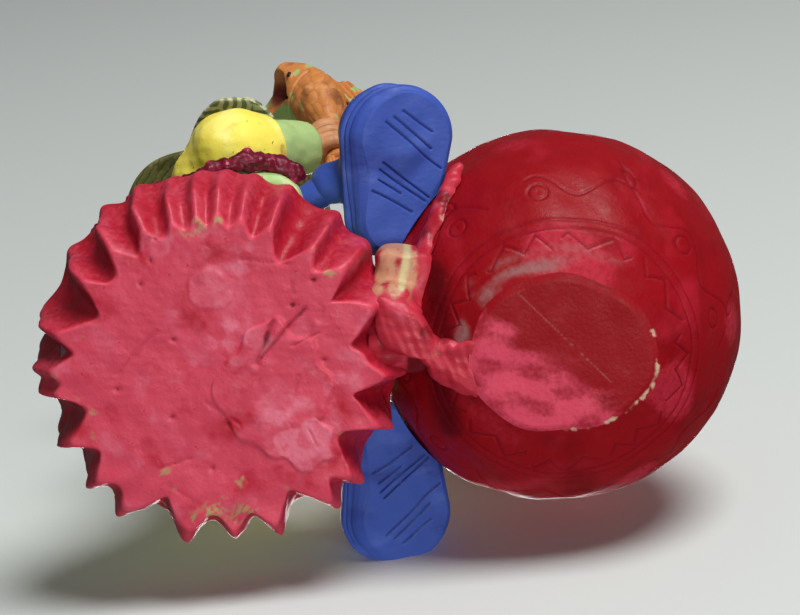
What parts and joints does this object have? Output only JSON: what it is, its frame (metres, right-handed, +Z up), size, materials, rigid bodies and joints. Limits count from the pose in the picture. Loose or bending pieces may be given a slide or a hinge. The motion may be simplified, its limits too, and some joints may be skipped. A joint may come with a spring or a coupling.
{
  "type": "bubbling ornament",
  "caption": "Painted clay figure seated on a fluted stool, straddling a round hollow pot with a hinged lid; air fed through the stool bubbles up out of the pot.",
  "frame": {"origin": "centre of the fluted stool's flat underside", "axes": "+Z up, -Y towards the pot at the front, +X to the figure's left"},
  "size_m": [0.1012, 0.1399, 0.1267],
  "materials": {
    "red_clay": "hand-painted crimson, satin, worn at the edges",
    "blue_clay": "hand-painted blue, satin",
    "yellow_clay": "hand-painted yellow, matt",
    "pale_green_clay": "hand-painted pale green, matt",
    "green_clay": "hand-painted green, matt",
    "maroon_clay": "hand-painted maroon, satin, rough",
    "patterned_clay": "hand-painted cream with green dashes, matt",
    "skin_clay": "hand-painted warm brown, matt",
    "brown_clay": "hand-painted dark brown, matt",
    "olive_clay": "hand-painted olive, matt",
    "orange_clay": "hand-painted orange with green, satin",
    "brass_wire": "drawn wire",
    "steel_wire": "drawn wire",
    "grey_rubber": "moulded silicone rubber",
    "clear_grey_tube": "extruded tube",
    "air_stone": "sintered mineral, porous"
  },
  "bodies": {
    "ornament": {"fluted_stool": "red_clay", "bridge_web": "red_clay", "pot_body": "red_clay", "pot_shoulder": "red_clay", "pot_collar": "red_clay", "lid_hinge_pin": "brass_wire", "inlet_grommet": "grey_rubber", "feed_tube": "clear_grey_tube", "pot_seal": "grey_rubber", "air_stone": "air_stone", "tunic": "pale_green_clay", "hem_fringe": "maroon_clay", "poncho": "patterned_clay", "right_leg": "blue_clay", "left_leg": "blue_clay", "right_shoe": "blue_clay", "left_shoe": "blue_clay", "right_sole": "blue_clay", "left_sole": "blue_clay", "right_sleeve": "yellow_clay", "left_sleeve": "yellow_clay", "right_hand": "skin_clay", "left_hand": "skin_clay", "head": "skin_clay", "hair": "brown_clay", "hat_brim": "olive_clay", "hat_crown": "olive_clay", "hat_band": "maroon_clay", "fish_body": "orange_clay", "fish_tail": "orange_clay", "fish_fin": "green_clay", "armature_rod": "steel_wire"},
    "lid": {"pot_lid": "red_clay", "lid_knob": "red_clay"}
  },
  "joints": [
    {"name": "lid_hinge", "type": "hinge", "parent": "ornament", "child": "lid", "pos_m": [0, -0.0449, 0.07068], "axis": [-1, 0, 0], "range_deg": [0, 50]}
  ]
}
